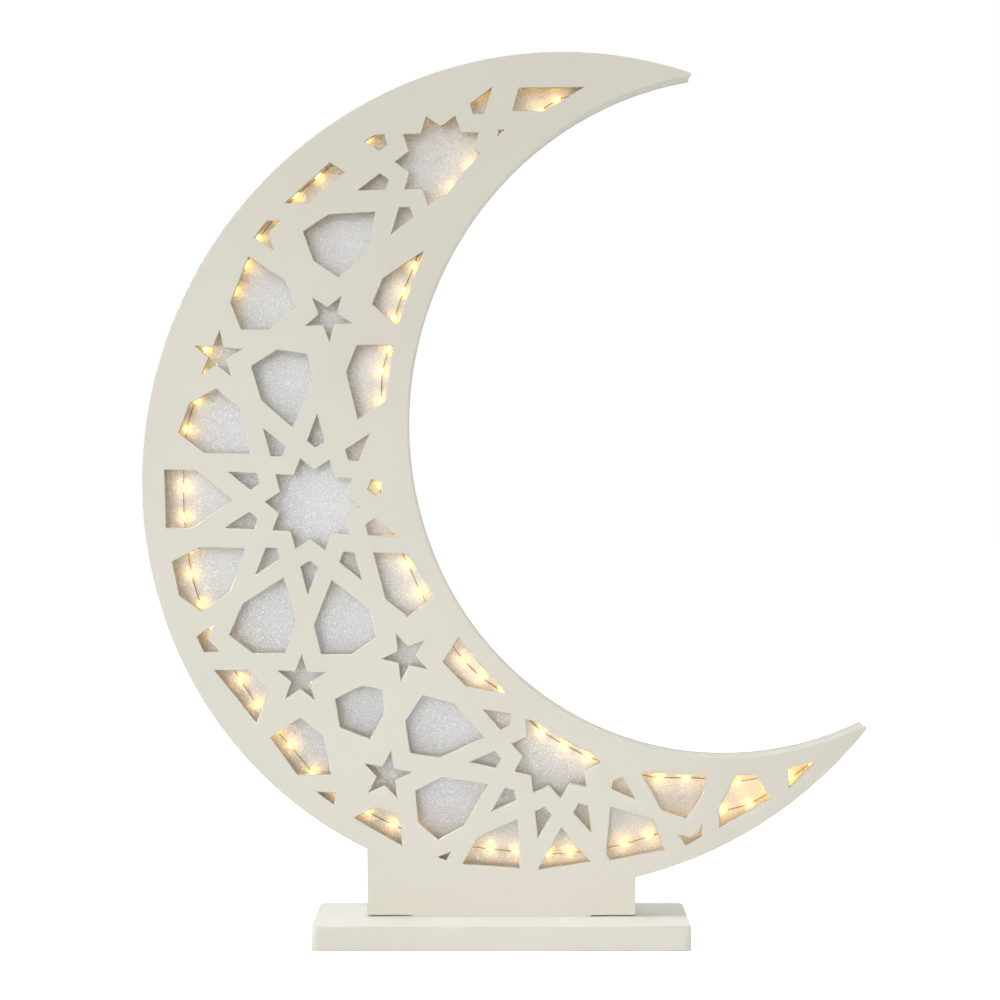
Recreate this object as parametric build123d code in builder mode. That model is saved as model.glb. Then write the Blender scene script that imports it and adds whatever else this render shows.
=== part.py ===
"""Light-up crescent ornament: pierced front board, glitter lining, light string, battery box and base."""

from build123d import *
import os
from math import cos, radians, sin, tan

os.makedirs("parts", exist_ok=True)

# Frame: origin at the middle of the base's underside, +Z up, the pierced front faces -Y.
# All sizes are in millimetres.

# Base board
BASE_WIDTH = 168.0
BASE_DEPTH = 76.0
BASE_HEIGHT = 11.0
BASE_CORNER = 3.0
BASE_EDGE = 0.3

# Boards and strips of the hollow body
FRONT_THICKNESS = 4.0
BACK_THICKNESS = 3.0
RIM_DEPTH = 18.0
RIM_THICKNESS = 3.0
RIM_INSET = 0.3
BODY_SETBACK = 31.0

# Crescent: a tilted ellipse with a second tilted ellipse cut out of it
OUTER_CENTRE = (22.6, 212.0)
OUTER_SEMI = (183.4, 189.8)
OUTER_TILT = -26.7
INNER_CENTRE = (105.5, 237.1)
INNER_SEMI = (147.2, 155.1)
INNER_TILT = -15.9
TIP_RADIUS = 0.9
UPPER_TIP_ROOT = 60.0
LOWER_TIP_ROOT = 148.0

# Neck and its tenons
NECK_WIDTH = 121.0
NECK_CORNER = 1.0
NECK_BLOCK_HEIGHT = 14.0
SHOULDER_GAP = 0.5
TENON_WIDTH = 81.0
TENON_LENGTH = 7.5
FIT = 0.15

# Ten-fold pattern: straps of one width run along the centre lines of three rosettes
STRAP_WIDTH = 8.1
FIVE_STAR_RADIUS = 11.1
LEAST_BORDER = 5.0
UPPER_STAR_BORDER = 15.5
LOWER_STAR_BORDER = 10.8
MIDDLE_KITE_BORDER = 14.0
UPPER_KITE_BORDER = 14.8

# Glitter lining
SHEET_THICKNESS = 0.5
SHEET_MARGIN = 0.4

# Light string
WIRE_DIAMETER = 0.6
WIRE_SIDES = 4
BEAD_DIAMETER = 3.0
BEAD_LENGTH = 4.0
BEAD_SIDES = 6
BEAD_CLEARANCE = 2.4
BEND_SHARE = 0.45
LEAD_STEP = (-5.0, 13.0)
GLUE_DIAMETER = 6.0
GLUE_HEIGHT = 4.6
GLUE_TAPER = 15.0
GLUE_SIDES = 8
WIRE_HOLE_DIAMETER = 3.0
WIRE_HOLE_HEIGHT = 31.0

# Battery box on the back of the neck
CELL_DIAMETER = 14.5
CELL_LENGTH = 50.5
CELL_NUB_DIAMETER = 5.5
CELL_NUB_LENGTH = 1.0
CELL_PITCH = 16.2
CELL_CLEARANCE = 0.4
CONTACT_ROOM = 3.2
CONTACT_SHEET = 0.4
CONTACT_GAP = 0.3
CONTACT_MARGIN = 1.5
BOX_WALL = 1.6
BOX_HEIGHT = 36.0
BOX_RISE = 3.0
BOX_CORNER = 1.5
BOX_LIP = 1.0
BOX_LIP_REACH = 1.2
COVER_THICKNESS = 1.5
COVER_CLEARANCE = 0.2
GRIP_RIBS = 5
GRIP_PITCH = 2.4
GRIP_DEPTH = 0.5
SWITCH_BAY = 10.3

# Slide switch
SWITCH_LENGTH = 8.6
SWITCH_WIDTH = 4.4
SWITCH_DEPTH = 4.3
SWITCH_TRAVEL = 2.0
SWITCH_PIN = 0.8
SWITCH_PIN_LENGTH = 3.0
SWITCH_PIN_PITCH = 2.5
KNOB_LENGTH = 3.0
KNOB_WIDTH = 2.4
KNOB_PROUD = 1.8
KNOB_CLEARANCE = 0.3

# Countersunk screws
BASE_SCREW_DIAMETER = 4.0
BASE_SCREW_HEAD = 8.0
BASE_SCREW_LENGTH = 20.0
BASE_SCREW_SPACING = 98.0
BOX_SCREW_DIAMETER = 2.5
BOX_SCREW_HEAD = 4.8
BOX_SCREW_LENGTH = 10.0
BOX_SCREW_SPACING = 40.0
BOX_SCREW_RISE = 9.0
HEAD_SINK = 0.2
SCREW_SIDES = 16

# Depths along Y, from the front board to the back of the battery box
BODY_FRONT = -BASE_DEPTH / 2 + BODY_SETBACK
RIM_FRONT = BODY_FRONT + FRONT_THICKNESS
RIM_BACK = RIM_FRONT + RIM_DEPTH
BODY_BACK = RIM_BACK + BACK_THICKNESS
BODY_MIDDLE = (RIM_FRONT + RIM_BACK) / 2
SHEET_FRONT = RIM_BACK - SHEET_THICKNESS
WIRE_Y = SHEET_FRONT - BEAD_CLEARANCE - BEAD_DIAMETER / 2

# Heights and widths that several pieces share
NECK_BOTTOM = BASE_HEIGHT + SHOULDER_GAP
WALL_OUTSIDE = NECK_WIDTH / 2 - RIM_INSET
WALL_INSIDE = WALL_OUTSIDE - RIM_THICKNESS
CAVITY_INSET = RIM_INSET + RIM_THICKNESS
REACH = 2 * max(OUTER_SEMI)


def facing_front(y):
    """Sketch plane across the body at depth y, X to the right and Z up, extruding towards the viewer."""
    return Plane.XZ.offset(-y)


def draw_outer(inset, mode=Mode.ADD):
    """Outer ellipse of the crescent, drawn in by inset."""
    with Locations(OUTER_CENTRE):
        Ellipse(OUTER_SEMI[0] - inset, OUTER_SEMI[1] - inset, rotation=OUTER_TILT, mode=mode)


def draw_inner(inset, mode=Mode.SUBTRACT):
    """Ellipse of the crescent's bay, pushed out into the board by inset."""
    with Locations(INNER_CENTRE):
        Ellipse(INNER_SEMI[0] + inset, INNER_SEMI[1] + inset, rotation=INNER_TILT, mode=mode)


def draw_block(x_low, x_high, z_low, z_high, mode=Mode.ADD):
    """Rectangle between two X and two Z values."""
    with Locations((x_low, z_low)):
        Rectangle(x_high - x_low, z_high - z_low, align=Align.MIN, mode=mode)


def draw_upper_tip(mode):
    """Everything right of the upper horn block's root, above the crescent's middle."""
    draw_block(UPPER_TIP_ROOT, UPPER_TIP_ROOT + REACH, OUTER_CENTRE[1], OUTER_CENTRE[1] + REACH, mode)


def draw_lower_tip(mode):
    """Everything right of the lower horn block's root, below the crescent's middle."""
    draw_block(LOWER_TIP_ROOT, LOWER_TIP_ROOT + REACH, OUTER_CENTRE[1] - REACH, OUTER_CENTRE[1], mode)


def draw_board(board):
    """Outline of the front and back boards: crescent, neck and tenon in one sheet."""
    draw_outer(0)
    draw_block(-NECK_WIDTH / 2, NECK_WIDTH / 2, NECK_BOTTOM, OUTER_CENTRE[1])
    draw_inner(0)
    fillet(board.vertices().sort_by(Axis.X)[-2:], radius=TIP_RADIUS)
    fillet(board.vertices().sort_by(Axis.Y)[:2], radius=NECK_CORNER)
    draw_block(-TENON_WIDTH / 2, TENON_WIDTH / 2, BASE_HEIGHT - TENON_LENGTH, NECK_BOTTOM + TENON_LENGTH)


def polar(centre, radius, angle):
    """Point at a radius and an angle in degrees from a centre."""
    return (centre[0] + radius * cos(radians(angle)), centre[1] + radius * sin(radians(angle)))


def polygon_face(points):
    """Flat face with the given corners."""
    with BuildSketch() as face:
        with BuildLine():
            Polyline(*points, close=True)
        make_face()
    return face.sketch


def strap_cell(points):
    """Opening of one pattern cell: the cell between strap centre lines, less half a strap all round."""
    with BuildSketch() as cell:
        with BuildLine():
            Polyline(*points, close=True)
        make_face()
        offset(amount=-STRAP_WIDTH / 2, kind=Kind.INTERSECTION)
    return cell.sketch


# A ten-pointed star whose straps cross at radius 1 has its inner corners at STAR_WAIST.
# The straps run on past the crossings and meet again at KITE_REACH, half a step round.
STEP = 36.0
STAR_WAIST = cos(radians(3 * STEP / 2)) / cos(radians(STEP))
KITE_REACH = 2 * cos(radians(STEP / 2))


class Rosette:
    """Ten-fold rosette: centre, radius where its straps cross, and turn in degrees."""

    def __init__(self, centre, radius, turn):
        self.centre = centre
        self.radius = radius
        self.turn = turn

    def point(self, reach, angle):
        return polar(self.centre, reach * self.radius, self.turn + angle)

    def star(self):
        tips = [self.point(1, STEP * k) for k in range(10)]
        waists = [self.point(STAR_WAIST, STEP * (k + 0.5)) for k in range(10)]
        return strap_cell([corner for pair in zip(tips, waists) for corner in pair])

    def kite(self, k):
        axis = STEP * (k + 0.5)
        side = STEP / 2
        corners = [(STAR_WAIST, axis), (1, axis + side), (KITE_REACH, axis), (1, axis - side)]
        return strap_cell([self.point(*corner) for corner in corners])


def five_star(centre, turn):
    """Opening with five points, one of them at the turn angle."""
    waist = FIVE_STAR_RADIUS * cos(radians(72)) / cos(radians(36))
    points = []
    for k in range(5):
        points.append(polar(centre, FIVE_STAR_RADIUS, turn + 72 * k))
        points.append(polar(centre, waist, turn + 72 * k + 36))
    return polygon_face(points)


def trimmed(opening, border):
    """Opening cut off along a border of the given width inside the crescent's edges."""
    with BuildSketch() as field:
        draw_outer(border)
        draw_inner(border)
    return opening & field.sketch


middle = Rosette((-85.1, 196.8), 28.3, -3.0)
upper = Rosette((-26.9, 351.6), 28.0, 1.5)
lower = Rosette((24.6, 84.6), 27.4, -12.0)

# Stars and kites of the rosettes; those beside the border are trimmed to it
OPENINGS = [middle.star(), trimmed(upper.star(), UPPER_STAR_BORDER)]
OPENINGS += [trimmed(lower.star(), LOWER_STAR_BORDER)]
OPENINGS += [middle.kite(k) for k in range(1, 10)]
OPENINGS += [trimmed(middle.kite(0), MIDDLE_KITE_BORDER)]
OPENINGS += [upper.kite(k) for k in (1, 5, 6)]
OPENINGS += [trimmed(upper.kite(4), UPPER_KITE_BORDER)]
OPENINGS += [lower.kite(k) for k in range(5, 9)]

# Petals round the middle and the lower star, each stretched or cut to suit the crescent's width
PETALS = [
    [(-101.1, 266.4), (-87.6, 264.4), (-84.6, 252.2), (-94.3, 231.5), (-108.1, 243.7), (-112.8, 259.0)],
    [(-128.6, 248.9), (-118.2, 240.1), (-113.0, 219.4), (-134.2, 220.0), (-145.5, 229.0), (-140.5, 242.3)],
    [(-151.9, 212.4), (-137.8, 212.0), (-121.1, 198.8), (-139.6, 186.1), (-151.2, 186.1)],
    [(-135.8, 177.4), (-115.5, 176.9), (-122.5, 157.4), (-135.3, 148.4), (-145.2, 155.6), (-148.4, 170.9)],
    [(-98.2, 163.7), (-92.5, 143.7), (-97.7, 129.7), (-112.1, 129.7), (-122.7, 138.0), (-116.6, 151.8)],
    [(-76.5, 162.6), (-59.8, 149.5), (-56.5, 136.9), (-67.5, 129.2), (-81.2, 129.2), (-84.4, 142.3)],
    [(-57.8, 175.0), (-42.7, 174.4), (-30.3, 155.6), (-42.3, 146.1), (-52.2, 154.2)],
    [(-35.5, 110.5), (-21.8, 106.9), (-8.0, 91.6), (-27.6, 82.6), (-41.1, 84.6), (-43.2, 99.0)],
    [(-26.7, 73.6), (-6.4, 70.4), (-16.8, 52.0), (-28.5, 45.4), (-37.5, 53.5), (-38.7, 67.5)],
    [(7.3, 54.9), (8.2, 32.6), (-17.5, 34.6), (-10.5, 46.8)],
    [(27.1, 51.1), (40.2, 35.5), (16.5, 32.1)],
    [(49.2, 60.3), (68.4, 54.9), (73.5, 40.9), (49.0, 36.2), (47.3, 39.3)],
    [(62.6, 76.3), (92.2, 74.0), (90.9, 66.6), (83.5, 55.1), (72.4, 58.7)],
]

# Five-pointed stars between the rosettes: centre and turn
FIVE_STARS = [((-78.1, 281.2), -14.6), ((-127.8, 264.0), 13.9), ((-90.4, 117.9), 15.5)]
FIVE_STARS += [((-43.0, 128.2), -30.6), ((-51.8, 74.5), 7.3)]
OPENINGS += [five_star(centre, turn) for centre, turn in FIVE_STARS]

# Filling shapes where the rosettes leave room between them and the border
FILLERS = [
    [(-8.2, 104.3), (4.1, 102.3), (3.9, 97.0), (-0.4, 95.0)],
    [(50.6, 72.2), (55.1, 73.9), (60.2, 63.9), (49.7, 68.6)],
    [(7.8, 384.4), (37.2, 384.7), (19.4, 373.8), (5.1, 374.0)],
    [(-1.8, 362.5), (-1.3, 365.3), (1.5, 365.6)],
    [(-97.6, 332.5), (-77.2, 350.8), (-70.4, 346.3), (-87.4, 332.3)],
    [(-77.9, 327.4), (-56.8, 328.6), (-60.4, 310.3), (-73.4, 299.1), (-84.6, 306.6), (-89.4, 319.7)],
    [(-111.5, 317.0), (-105.5, 324.6), (-99.3, 324.4), (-104.8, 319.2), (-102.6, 311.5)],
    [(-35.0, 311.0), (-46.6, 277.1), (-58.3, 287.0), (-53.4, 298.7)],
    [(-114.0, 308.4), (-97.7, 297.8), (-92.8, 285.8), (-104.2, 275.4), (-117.3, 275.6), (-122.1, 287.9)],
    [(-65.2, 268.5), (-48.6, 268.5), (-52.3, 243.1), (-64.7, 235.2), (-69.9, 256.6)],
    [(-129.5, 142.7), (-132.5, 136.3), (-126.5, 130.3), (-134.1, 130.0), (-137.3, 137.2)],
    [(-129.4, 122.0), (-114.5, 122.0), (-104.9, 112.8), (-110.4, 98.1)],
    [(-104.1, 91.7), (-90.8, 100.4), (-80.0, 92.1), (-76.8, 74.8), (-92.0, 74.8)],
    [(-62.9, 115.1), (-53.8, 113.0), (-53.0, 101.6), (-59.4, 90.8), (-72.8, 96.3), (-74.9, 109.0)],
    [(-83.5, 67.3), (-74.6, 66.6), (-75.5, 61.1)],
    [(-66.6, 55.5), (-57.1, 59.9), (-48.1, 57.6), (-45.0, 51.2), (-44.9, 42.7)],
    [(-22.7, 40.2), (-28.6, 37.7), (-25.0, 35.9)],
    [(-19.4, 136.9), (2.2, 111.3), (-16.2, 114.9), (-26.3, 125.7)],
    [(79.8, 47.7), (85.7, 46.5), (90.3, 52.3), (90.3, 46.8), (83.0, 43.1)],
    [(106.0, 74.8), (114.5, 74.8), (121.3, 64.0), (98.2, 51.1), (98.2, 60.2)],
    [(129.3, 77.8), (141.5, 80.6), (129.5, 68.9)],
]
OPENINGS += [polygon_face(points) for points in PETALS + FILLERS]

# Front board, pierced with the pattern
with BuildPart() as front_panel:
    with BuildSketch(facing_front(RIM_FRONT)) as board:
        draw_board(board)
    extrude(amount=FRONT_THICKNESS)
    with BuildSketch(facing_front(RIM_FRONT)):
        for opening in OPENINGS:
            add(opening)
        draw_outer(LEAST_BORDER, Mode.INTERSECT)
        draw_inner(LEAST_BORDER)
    extrude(amount=FRONT_THICKNESS, mode=Mode.SUBTRACT)
front_panel.part.label = "front_panel"

# Battery box, seen from behind: cell bay with a sliding cover, then a switch bay
CELL_BAY = CELL_LENGTH + 2 * CONTACT_ROOM
BOX_LENGTH = CELL_BAY + SWITCH_BAY + 3 * BOX_WALL
BOX_LEFT = -BOX_LENGTH / 2
BAY_LEFT = BOX_LEFT + SWITCH_BAY + 2 * BOX_WALL
BAY_RIGHT = BAY_LEFT + CELL_BAY
BOX_RIGHT = BAY_RIGHT + BOX_WALL
BOX_BOTTOM = BASE_HEIGHT + BOX_RISE
BOX_MIDDLE = BOX_BOTTOM + BOX_HEIGHT / 2
BOX_FLOOR = BODY_BACK + BOX_WALL
CELL_Y = BOX_FLOOR + CELL_CLEARANCE + CELL_DIAMETER / 2
COVER_FRONT = CELL_Y + CELL_DIAMETER / 2 + CELL_CLEARANCE
COVER_BACK = COVER_FRONT + COVER_THICKNESS
LIP_FRONT = COVER_BACK + COVER_CLEARANCE
BOX_BACK = LIP_FRONT + BOX_LIP
BAY_HALF = BOX_HEIGHT / 2 - BOX_WALL
LIP_HALF = BAY_HALF - BOX_LIP_REACH
SWITCH_X = BOX_LEFT + BOX_WALL + SWITCH_BAY / 2
SWITCH_BACK = BOX_BACK - BOX_WALL
BOX_SCREW_HEIGHT = BOX_BOTTOM + BOX_SCREW_RISE
BAY_MIDDLE = (BAY_LEFT + BAY_RIGHT) / 2
BOX_SCREW_SPOTS = [(BAY_MIDDLE + side * BOX_SCREW_SPACING / 2, BOX_SCREW_HEIGHT) for side in (-1, 1)]


def draw_knob_slot():
    """Slot that the switch's knob slides in, through the box's rear wall and into the switch."""
    with Locations((SWITCH_X, BOX_MIDDLE)):
        Rectangle(KNOB_LENGTH + SWITCH_TRAVEL + 2 * KNOB_CLEARANCE, KNOB_WIDTH + 2 * KNOB_CLEARANCE)


# Back board: plain, with the hole for the string's lead and pilot holes for the box screws
with BuildPart() as back_panel:
    with BuildSketch(facing_front(BODY_BACK)) as board:
        draw_board(board)
        with Locations((SWITCH_X, WIRE_HOLE_HEIGHT)):
            Circle(WIRE_HOLE_DIAMETER / 2, mode=Mode.SUBTRACT)
        with Locations(*BOX_SCREW_SPOTS):
            Circle(BOX_SCREW_DIAMETER / 2, mode=Mode.SUBTRACT)
    extrude(amount=BACK_THICKNESS)
back_panel.part.label = "back_panel"

# Bent strips that close the edge between the two boards
with BuildPart() as outer_rim_left:
    with BuildSketch(facing_front(RIM_BACK)):
        draw_outer(RIM_INSET)
        draw_outer(CAVITY_INSET, Mode.SUBTRACT)
        draw_inner(RIM_INSET)
        draw_block(-WALL_OUTSIDE, REACH, OUTER_CENTRE[1] - REACH, OUTER_CENTRE[1], Mode.SUBTRACT)
        draw_upper_tip(Mode.SUBTRACT)
    extrude(amount=RIM_DEPTH)
outer_rim_left.part.label = "outer_rim_left"

with BuildPart() as outer_rim_right:
    with BuildSketch(facing_front(RIM_BACK)):
        draw_outer(RIM_INSET)
        draw_outer(CAVITY_INSET, Mode.SUBTRACT)
        draw_inner(RIM_INSET)
        draw_block(WALL_OUTSIDE, LOWER_TIP_ROOT, OUTER_CENTRE[1] - REACH, OUTER_CENTRE[1], Mode.INTERSECT)
    extrude(amount=RIM_DEPTH)
outer_rim_right.part.label = "outer_rim_right"

with BuildPart() as inner_rim:
    with BuildSketch(facing_front(RIM_BACK)):
        draw_inner(CAVITY_INSET, Mode.ADD)
        draw_inner(RIM_INSET)
        draw_outer(RIM_INSET, Mode.INTERSECT)
        draw_upper_tip(Mode.SUBTRACT)
        draw_lower_tip(Mode.SUBTRACT)
    extrude(amount=RIM_DEPTH)
inner_rim.part.label = "inner_rim"

# Wedges that fill the horns, where the two strips run together
with BuildPart() as upper_tip_block:
    with BuildSketch(facing_front(RIM_BACK)) as wedge:
        draw_outer(RIM_INSET)
        draw_inner(RIM_INSET)
        draw_upper_tip(Mode.INTERSECT)
        fillet(wedge.vertices().sort_by(Axis.X)[-1], radius=TIP_RADIUS - RIM_INSET)
    extrude(amount=RIM_DEPTH)
upper_tip_block.part.label = "upper_tip_block"

with BuildPart() as lower_tip_block:
    with BuildSketch(facing_front(RIM_BACK)) as wedge:
        draw_outer(RIM_INSET)
        draw_inner(RIM_INSET)
        draw_lower_tip(Mode.INTERSECT)
        fillet(wedge.vertices().sort_by(Axis.X)[-1], radius=TIP_RADIUS - RIM_INSET)
    extrude(amount=RIM_DEPTH)
lower_tip_block.part.label = "lower_tip_block"

# Side walls of the neck, cut to the inside of the outer strip at the top
with BuildPart() as neck_wall_left:
    with BuildSketch(facing_front(RIM_BACK)):
        draw_block(-WALL_OUTSIDE, -WALL_INSIDE, NECK_BOTTOM, OUTER_CENTRE[1])
        draw_outer(CAVITY_INSET, Mode.SUBTRACT)
    extrude(amount=RIM_DEPTH)
neck_wall_left.part.label = "neck_wall_left"

with BuildPart() as neck_wall_right:
    with BuildSketch(facing_front(RIM_BACK)):
        draw_block(WALL_INSIDE, WALL_OUTSIDE, NECK_BOTTOM, OUTER_CENTRE[1])
        draw_outer(CAVITY_INSET, Mode.SUBTRACT)
    extrude(amount=RIM_DEPTH)
neck_wall_right.part.label = "neck_wall_right"

BASE_SCREW_SPOTS = [(side * BASE_SCREW_SPACING / 2, BODY_MIDDLE) for side in (-1, 1)]

# Batten across the foot of the neck; it stands on the base and takes the screws
with BuildPart() as neck_block:
    with BuildSketch(Plane.XY.offset(BASE_HEIGHT)):
        with Locations((0, BODY_MIDDLE)):
            Rectangle(2 * WALL_INSIDE, RIM_DEPTH)
        with Locations(*BASE_SCREW_SPOTS):
            Circle(BASE_SCREW_DIAMETER / 2, mode=Mode.SUBTRACT)
    extrude(amount=NECK_BLOCK_HEIGHT)
    with BuildSketch(facing_front(RIM_BACK)):
        with Locations(*BOX_SCREW_SPOTS):
            Circle(BOX_SCREW_DIAMETER / 2)
    extrude(amount=BOX_SCREW_LENGTH, mode=Mode.SUBTRACT)
neck_block.part.label = "neck_block"

# Glitter card glued to the inside of the back board
with BuildPart() as glitter_sheet:
    with BuildSketch(facing_front(RIM_BACK)):
        draw_outer(CAVITY_INSET + SHEET_MARGIN)
        draw_inner(CAVITY_INSET + SHEET_MARGIN)
        draw_upper_tip(Mode.SUBTRACT)
        draw_lower_tip(Mode.SUBTRACT)
    extrude(amount=SHEET_THICKNESS)
glitter_sheet.part.label = "glitter_sheet"

# Route of the light string in X and Z, one light at each point of the three runs
OUTER_RUN = [
    (-38.5, 46.0), (-49.4, 50.1), (-61.2, 56.1), (-73.1, 64.2), (-86.2, 73.8), (-96.4, 86.4),
    (-102.9, 93.5), (-111.5, 105.1), (-119.1, 116.1), (-126.0, 128.1), (-132.2, 140.4), (-137.2, 150.7),
    (-141.7, 164.7), (-143.0, 176.2), (-144.8, 190.6), (-145.0, 204.1), (-144.8, 217.5), (-143.9, 230.8),
    (-139.5, 244.3), (-136.6, 255.8), (-134.8, 267.3), (-128.8, 281.8), (-121.7, 294.4), (-116.4, 305.8),
    (-110.7, 317.9), (-102.3, 328.3), (-93.6, 337.3), (-83.3, 346.1), (-72.7, 354.8), (-61.3, 363.0),
    (-49.4, 370.3), (-37.0, 376.3), (-24.0, 381.5), (-10.7, 385.1), (2.6, 388.1), (15.4, 390.1),
    (27.7, 391.1),
]
UPPER_TURN = [(37.3, 390.5), (42.2, 387.5), (40.6, 383.9), (33.9, 383.2)]
INNER_RUN = [
    (25.4, 381.0), (17.5, 375.8), (6.2, 368.5), (-4.7, 360.3), (-13.9, 351.6), (-22.3, 341.1),
    (-29.4, 330.1), (-35.0, 317.9), (-39.8, 305.4), (-44.8, 293.6), (-48.8, 281.3), (-51.3, 267.3),
    (-54.5, 257.3), (-54.9, 243.8), (-56.0, 231.3), (-56.5, 218.0), (-55.8, 205.2), (-53.1, 192.4),
    (-48.5, 180.2), (-42.5, 169.2), (-37.0, 156.6), (-31.3, 145.9), (-24.9, 135.4), (-17.4, 125.3),
    (-9.5, 117.6), (-0.1, 111.5), (9.0, 101.7), (18.4, 92.7), (28.7, 86.6), (39.5, 81.4),
    (50.4, 77.1), (61.4, 73.4), (72.3, 71.6), (84.2, 72.0), (95.6, 71.1), (107.7, 69.8),
    (119.3, 72.0), (130.2, 74.8),
]
LOWER_TURN = [(137.5, 81.0), (142.2, 83.4), (145.0, 82.9), (145.2, 81.0)]
LOWER_RUN = [
    (141.5, 78.8), (131.6, 71.6), (122.9, 65.6), (113.1, 59.6), (101.2, 56.8), (89.7, 51.9),
    (78.3, 48.3), (67.4, 45.0), (56.0, 41.5), (43.5, 38.8), (31.4, 37.5), (21.2, 36.7),
    (6.7, 38.1), (-5.2, 39.3), (-17.1, 40.6),
]

# The lead runs from the switch through the back board, then up in front of the glitter card
SWITCH_FRONT = SWITCH_BACK - SWITCH_DEPTH
PIN_FRONT = SWITCH_FRONT - SWITCH_PIN_LENGTH
LEAD = [
    (SWITCH_X, PIN_FRONT, BOX_MIDDLE),
    (SWITCH_X, (PIN_FRONT + BODY_BACK) / 2, WIRE_HOLE_HEIGHT),
    (SWITCH_X, WIRE_Y, WIRE_HOLE_HEIGHT),
    (SWITCH_X + LEAD_STEP[0], WIRE_Y, WIRE_HOLE_HEIGHT + LEAD_STEP[1]),
]
FLAT_ROUTE = OUTER_RUN + UPPER_TURN + INNER_RUN + LOWER_TURN + LOWER_RUN
ROUTE = [Vector(*point) for point in LEAD] + [Vector(x, WIRE_Y, z) for x, z in FLAT_ROUTE]


def bend_radius(before, corner, after):
    """Largest radius that two neighbouring runs of the route leave room for."""
    arriving = corner - before
    leaving = after - corner
    shorter = min(arriving.length, leaving.length)
    return BEND_SHARE * shorter / tan(radians(arriving.get_angle(leaving) / 2))


BENDS = [bend_radius(*ROUTE[i:i + 3]) for i in range(len(ROUTE) - 2)]

with BuildPart() as light_wire:
    with BuildLine() as route:
        FilletPolyline(*ROUTE, radius=BENDS)
    with BuildSketch(Plane(ROUTE[0], z_dir=ROUTE[1] - ROUTE[0])):
        RegularPolygon(WIRE_DIAMETER / 2, WIRE_SIDES)
    sweep()
light_wire.part.label = "light_wire"
wire_length = route.wires()[0].length
wire_section = WIRE_SIDES / 2 * sin(radians(360 / WIRE_SIDES)) * (WIRE_DIAMETER / 2) ** 2
print("wire length", round(wire_length, 1), "least bend", round(min(BENDS), 2))
print("wire volume", round(light_wire.part.volume, 2), "expected", round(wire_section * wire_length, 2))


def along_run(run, i):
    """Plane on point i of a run, its Z along the wire there."""
    before = run[max(i - 1, 0)]
    after = run[min(i + 1, len(run) - 1)]
    course = Vector(after[0] - before[0], 0, after[1] - before[1])
    return Plane((run[i][0], WIRE_Y, run[i][1]), x_dir=(0, 1, 0), z_dir=course)


BEAD_PLANES = [along_run(run, i) for run in (OUTER_RUN, INNER_RUN, LOWER_RUN) for i in range(len(run))]

# Resin drops of the string
with BuildPart() as led_beads:
    with BuildSketch(*BEAD_PLANES):
        RegularPolygon(BEAD_DIAMETER / 2, BEAD_SIDES)
    extrude(amount=BEAD_LENGTH / 2, both=True)
led_beads.part.label = "led_beads"


def midpoint(run, i):
    """Middle of the run between points i and i + 1."""
    return ((run[i][0] + run[i + 1][0]) / 2, (run[i][1] + run[i + 1][1]) / 2)


# Hot-melt dots on the card, between two lights and behind solid parts of the front board
GLUE_SPOTS = [midpoint(OUTER_RUN, i) for i in (2, 6, 10, 18, 23, 28, 32, 35)]
GLUE_SPOTS += [midpoint(INNER_RUN, i) for i in (1, 6, 10, 14, 21, 25, 30, 34)]
GLUE_SPOTS += [midpoint(LOWER_RUN, i) for i in (1, 4, 11)]

with BuildPart() as glue_dots:
    with BuildSketch(facing_front(SHEET_FRONT)):
        with Locations(*GLUE_SPOTS):
            RegularPolygon(GLUE_DIAMETER / 2, GLUE_SIDES)
    extrude(amount=GLUE_HEIGHT, taper=GLUE_TAPER)
glue_dots.part.label = "glue_dots"

# Base board with a mortise for each tenon and countersunk holes from below
with BuildPart() as base_plinth:
    with BuildSketch():
        RectangleRounded(BASE_WIDTH, BASE_DEPTH, BASE_CORNER)
    extrude(amount=BASE_HEIGHT)
    chamfer(base_plinth.faces().filter_by(Axis.Z).edges(), length=BASE_EDGE)
    with BuildSketch(Plane.XY.offset(BASE_HEIGHT)):
        for board_front, board_back in ((BODY_FRONT, RIM_FRONT), (RIM_BACK, BODY_BACK)):
            with Locations((0, (board_front + board_back) / 2)):
                Rectangle(TENON_WIDTH + 2 * FIT, board_back - board_front + 2 * FIT)
    extrude(amount=-TENON_LENGTH - FIT, mode=Mode.SUBTRACT)
    with Locations(*[Location((x, y, 0), (180, 0, 0)) for x, y in BASE_SCREW_SPOTS]):
        CounterSinkHole(BASE_SCREW_DIAMETER / 2 + FIT, BASE_SCREW_HEAD / 2 + FIT + HEAD_SINK)
base_plinth.part.label = "base_plinth"


def draw_screw(plane, diameter, head, length):
    """Countersunk screw: its head's flat on the plane, its point along the plane's Z."""
    cone = (head - diameter) / 2
    with BuildSketch(plane) as flat:
        RegularPolygon(head / 2, SCREW_SIDES)
    extrude(flat.sketch, amount=cone, taper=45)
    with BuildSketch(plane) as shank:
        RegularPolygon(diameter / 2, SCREW_SIDES)
    extrude(shank.sketch, amount=length)


# Screws from below through the base into the batten
with BuildPart() as base_screws:
    for x, y in BASE_SCREW_SPOTS:
        upward = Plane((x, y, HEAD_SINK), z_dir=(0, 0, 1))
        draw_screw(upward, BASE_SCREW_DIAMETER, BASE_SCREW_HEAD, BASE_SCREW_LENGTH)
base_screws.part.label = "base_screws"

# Screws from inside the cell bay, through the back board into the batten
with BuildPart() as box_screws:
    for x, z in BOX_SCREW_SPOTS:
        forward = Plane((x, BOX_FLOOR - HEAD_SINK, z), z_dir=(0, -1, 0))
        draw_screw(forward, BOX_SCREW_DIAMETER, BOX_SCREW_HEAD, BOX_SCREW_LENGTH)
box_screws.part.label = "box_screws"

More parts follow.
